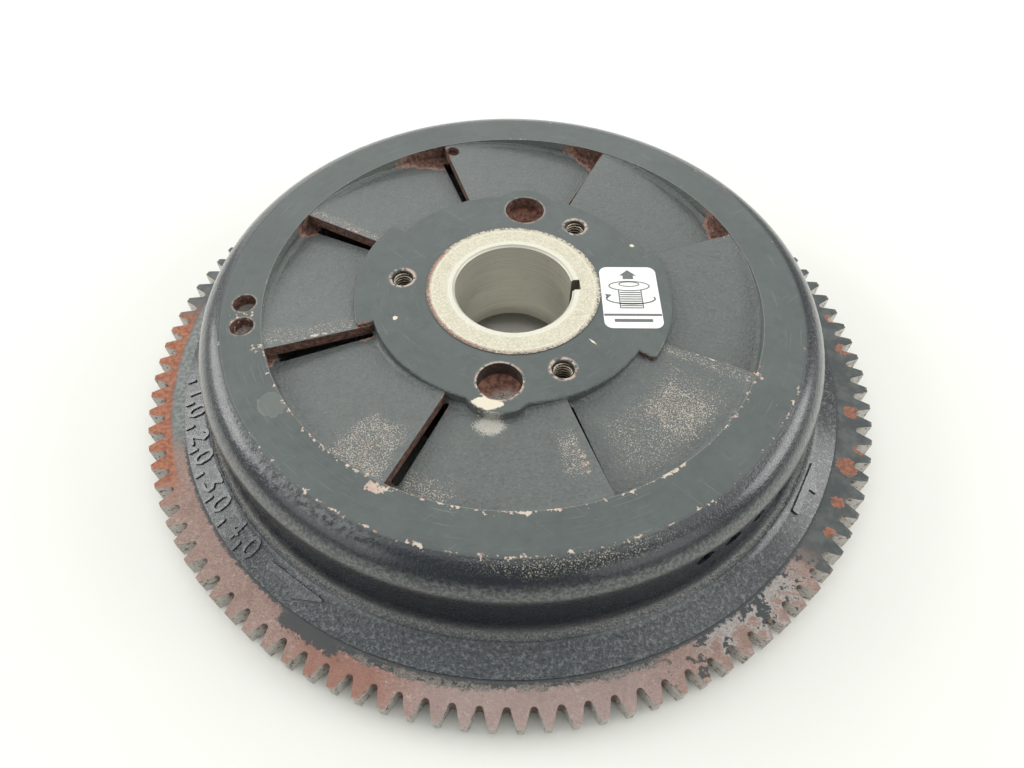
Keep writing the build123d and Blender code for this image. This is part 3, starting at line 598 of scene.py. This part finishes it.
def sleeve_steel():
    f = Finish("sleeve steel")
    drawn = f.noise(1.0, 3.0, 0.6, f.vector(f.angle * 0.03, f.z * 2.2, 0.0))
    cloud = f.noise(7.0, 4.0, 0.6)
    sheet = f.colour(f.rise(0.3, 0.7, drawn), (0.40, 0.40, 0.39), (0.58, 0.58, 0.56))
    sheet = f.colour(f.rise(0.55, 0.7, cloud) * 0.6, sheet, (0.30, 0.20, 0.15))
    return f.finish(sheet, 0.32 + f.rise(0.55, 0.7, cloud) * 0.3, 0.9, drawn * 0.01)


def label_vinyl():
    f = Finish("label vinyl")
    cloud = f.noise(6.0, 3.0, 0.6)
    grain = f.noise(0.5, 2.0, 0.6, shift=20.0)
    film = f.colour(f.rise(0.35, 0.7, cloud), (0.90, 0.90, 0.88), (0.82, 0.82, 0.79))
    nick = f.rise(0.0, 0.05, f.noise(1.6, 3.0, 0.6, shift=50.0) - 0.72)
    film = f.colour(nick * 0.6, film, (0.35, 0.34, 0.32))
    rough = 0.30 + (cloud - 0.5) * 0.15
    height = grain * 0.004 + cloud * 0.01
    return f.finish(film, rough, 0.0, height, coat=0.3, coat_rough=0.15)


def label_ink():
    f = Finish("label ink")
    wear = f.noise(0.5, 4.0, 0.65)
    ink = f.colour(f.rise(0.60, 0.72, wear) * 0.5, (0.125, 0.135, 0.14), (0.5, 0.5, 0.49))
    return f.finish(ink, 0.38 + (wear - 0.5) * 0.2, 0.0, wear * 0.003)


def table_top():
    f = Finish("table top")
    cloud = f.noise(160.0, 3.0, 0.5)
    sheet = f.colour(f.rise(0.3, 0.7, cloud), (0.825, 0.830, 0.790), (0.840, 0.845, 0.805))
    return f.finish(sheet, 0.7, 0.0, specular=0.2)


finishes = {
    "black_casting": casting_paint(),
    "hub_steel": bush_steel(),
    "gear_steel": gear_steel(),
    "magnet_ferrite": magnet_ferrite(),
    "cage_plastic": cage_plastic(),
    "sleeve_steel": sleeve_steel(),
    "label_vinyl": label_vinyl(),
}
for part in frame["record"]["subparts"]:
    node = frame["nodes"][part["node"]]
    node.data.materials.clear()
    node.data.materials.append(finishes[part["material_slot"]])


def piece(name, mesh, material):
    """A piece of the wheel made here. It rides with the wheel."""
    made = bpy.data.objects.new(name, mesh)
    bpy.context.scene.collection.objects.link(made)
    made.data.materials.append(material)
    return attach(made, "root")


# The screw thread inside the three puller holes: one helical ridge in each.
THREAD_PITCH = 1.25
THREAD_TURNS = 11
THREAD_WALL = 3.44
THREAD_TIP = 2.98
THREAD_STEPS = 48
THREAD_START = 1.15
THREAD_PROFILE = ((THREAD_WALL, 0.56), (THREAD_TIP, 0.10), (THREAD_TIP, -0.10), (THREAD_WALL, -0.56))
for number, degrees in enumerate(PULLER_ANGLES, 1):
    cx, cy = polar(PULLER_CIRCLE, degrees)
    mesh = bpy.data.meshes.new(f"puller_thread_{number}")
    build = bmesh.new()
    rows = []
    for step in range(THREAD_TURNS * THREAD_STEPS + 1):
        turn = step / THREAD_STEPS
        depth = HEIGHT - THREAD_START - turn * THREAD_PITCH
        fade = min(1.0, turn * 3, (THREAD_TURNS - turn) * 3)
        row = []
        for out, lift in THREAD_PROFILE:
            away = THREAD_WALL + (out - THREAD_WALL) * fade
            px, py = polar(away, turn * 360)
            level = depth + lift * max(fade, 0.05)
            row.append(build.verts.new(((cx + px) * MM, (cy + py) * MM, level * MM)))
        rows.append(row)
    for above, below in zip(rows, rows[1:]):
        for k in range(4):
            build.faces.new((above[k], above[(k + 1) % 4], below[(k + 1) % 4], below[k]))
    build.faces.new(rows[0])
    build.faces.new(rows[-1])
    bmesh.ops.recalc_face_normals(build, faces=build.faces)
    build.to_mesh(mesh)
    build.free()
    piece(f"puller_thread_{number}", mesh, finishes["black_casting"])

# The label's print, a plain pictogram: pull straight up, turn, and two bars.
label_low, label_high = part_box("puller_label")
label_mid = (label_low + label_high) / 2
LABEL_TURN = 6.4
INK_THICKNESS = 0.02


def ink_place(x, y, z):
    turned = Matrix.Rotation(math.radians(LABEL_TURN), 3, "Z") @ Vector((x * MM, y * MM, 0))
    return Vector((label_mid.x + turned.x, label_mid.y + turned.y, label_high.z + z * MM))


def ink_shape(build, outline):
    """A closed flat shape of ink with a little thickness."""
    low = [build.verts.new(ink_place(x, y, 0.0)) for x, y in outline]
    high = [build.verts.new(ink_place(x, y, INK_THICKNESS)) for x, y in outline]
    build.faces.new(high)
    build.faces.new(list(reversed(low)))
    for k in range(len(outline)):
        after = (k + 1) % len(outline)
        build.faces.new((low[k], low[after], high[after], high[k]))


def ink_line(build, points, width):
    """A stroke of even width through the points, one straight piece at a time."""
    for (ax, ay), (bx, by) in zip(points, points[1:]):
        length = math.hypot(bx - ax, by - ay)
        nx, ny = -(by - ay) / length * width / 2, (bx - ax) / length * width / 2
        near = [(ax + nx, ay + ny), (ax - nx, ay - ny)]
        ink_shape(build, near + [(bx - nx, by - ny), (bx + nx, by + ny)])


def arc(cx, cy, rx, ry, start, end, steps):
    """Points along part of an ellipse."""
    turns = [math.radians(start + (end - start) * k / steps) for k in range(steps + 1)]
    return [(cx + rx * math.cos(t), cy + ry * math.sin(t)) for t in turns]


build = bmesh.new()
arrow = [(-1.9, 8.6), (1.9, 8.6), (1.9, 10.4), (3.1, 10.4), (0, 13.2), (-3.1, 10.4), (-1.9, 10.4)]
ink_shape(build, arrow)
ink_line(build, arc(0, 5.2, 7.2, 2.3, 0, 360, 40), 0.46)
ink_line(build, arc(0, 6.1, 3.6, 1.1, 0, 360, 28), 0.42)
for side in (-1, 1):
    ink_line(build, [(side * 4.0, 3.2), (side * 4.0, -5.6)], 0.42)
for rung in range(8):
    ink_line(build, [(-3.7, 2.0 - rung * 1.05), (3.7, 2.0 - rung * 1.05)], 0.52)
ink_line(build, arc(0, -0.9, 8.6, 2.6, 162, 378, 44), 0.56)
ink_shape(build, [(-8.9, 1.3), (-6.5, 0.9), (-8.3, -0.9)])
ink_shape(build, [(-10.0, -9.1), (10.0, -9.1), (10.0, -8.1), (-10.0, -8.1)])
ink_shape(build, [(-6.6, -11.9), (6.6, -11.9), (6.6, -10.5), (-6.6, -10.5)])
bmesh.ops.recalc_face_normals(build, faces=build.faces)
mesh = bpy.data.meshes.new("label_print")
build.to_mesh(mesh)
build.free()
piece("label_print", mesh, label_ink())

# A plain pale table, just clear of the wheel. Its half width is in metres.
TABLE_HALF = 4.0
mesh = bpy.data.meshes.new("table")
build = bmesh.new()
bmesh.ops.create_grid(build, x_segments=8, y_segments=8, size=TABLE_HALF)
build.to_mesh(mesh)
build.free()
table = bpy.data.objects.new("table", mesh)
TABLE_GAP = 0.2
table.location.z = -TABLE_GAP * MM
table.data.materials.append(table_top())
bpy.context.scene.collection.objects.link(table)


def soft_light(name, place, size, power, colour=(1.0, 1.0, 0.98)):
    """A rectangular light aimed at the wheel. Place and size are in metres, power in watts."""
    lamp = bpy.data.lights.new(name, "AREA")
    lamp.shape = "RECTANGLE"
    lamp.size, lamp.size_y = size
    lamp.energy = power
    lamp.color = colour
    holder = bpy.data.objects.new(name, lamp)
    holder.location = place
    holder.rotation_mode = "QUATERNION"
    holder.rotation_quaternion = (-Vector(place)).to_track_quat("-Z", "Y")
    bpy.context.scene.collection.objects.link(holder)


soft_light("ceiling_light", (0.0, 0.45, 1.5), (3.2, 2.2), 24.0)
soft_light("left_light", (-1.3, 0.20, 0.75), (0.9, 0.55), 8.0)
soft_light("right_light", (1.3, 0.20, 0.70), (0.8, 0.5), 7.0)
soft_light("back_light", (-0.4, 1.9, 0.8), (3.0, 1.5), 15.0)
soft_light("front_left_light", (-1.05, -0.95, 0.80), (0.9, 0.7), 3.0)
soft_light("front_right_light", (1.05, -0.95, 0.80), (0.9, 0.7), 3.0)

ROOM_COLOUR = (0.98, 1.0, 0.985, 1.0)
ROOM_STRENGTH = 0.30
world = bpy.data.worlds.new("room")
world.use_nodes = True
room = world.node_tree.nodes["Background"]
room.inputs["Color"].default_value = ROOM_COLOUR
room.inputs["Strength"].default_value = ROOM_STRENGTH
bpy.context.scene.world = world

# The camera stands in front of the wheel and looks down on it.
LENS = 25.01
LENS_ROLL = 0.0220
CAMERA_PLACE = (0.0161, -0.1777, 0.2277)
right = Vector((0.9960, 0.0889, 0.0))
above = Vector((-0.0714, 0.8001, 0.5957))
back = Vector((0.05295, -0.59327, 0.80326)).normalized()
aside = (right * math.cos(LENS_ROLL) + above * math.sin(LENS_ROLL)).normalized()
head = back.cross(aside).normalized()
aside = head.cross(back)
camera = bpy.data.objects.new("camera", bpy.data.cameras.new("camera"))
camera.data.lens = LENS
camera.data.sensor_width = 36.0
camera.data.clip_start = 0.01
camera.matrix_world = Matrix(
    (
        (aside.x, head.x, back.x, CAMERA_PLACE[0]),
        (aside.y, head.y, back.y, CAMERA_PLACE[1]),
        (aside.z, head.z, back.z, CAMERA_PLACE[2]),
        (0, 0, 0, 1),
    )
)
bpy.context.scene.collection.objects.link(camera)
bpy.context.scene.camera = camera
bpy.context.scene.view_settings.view_transform = "Standard"
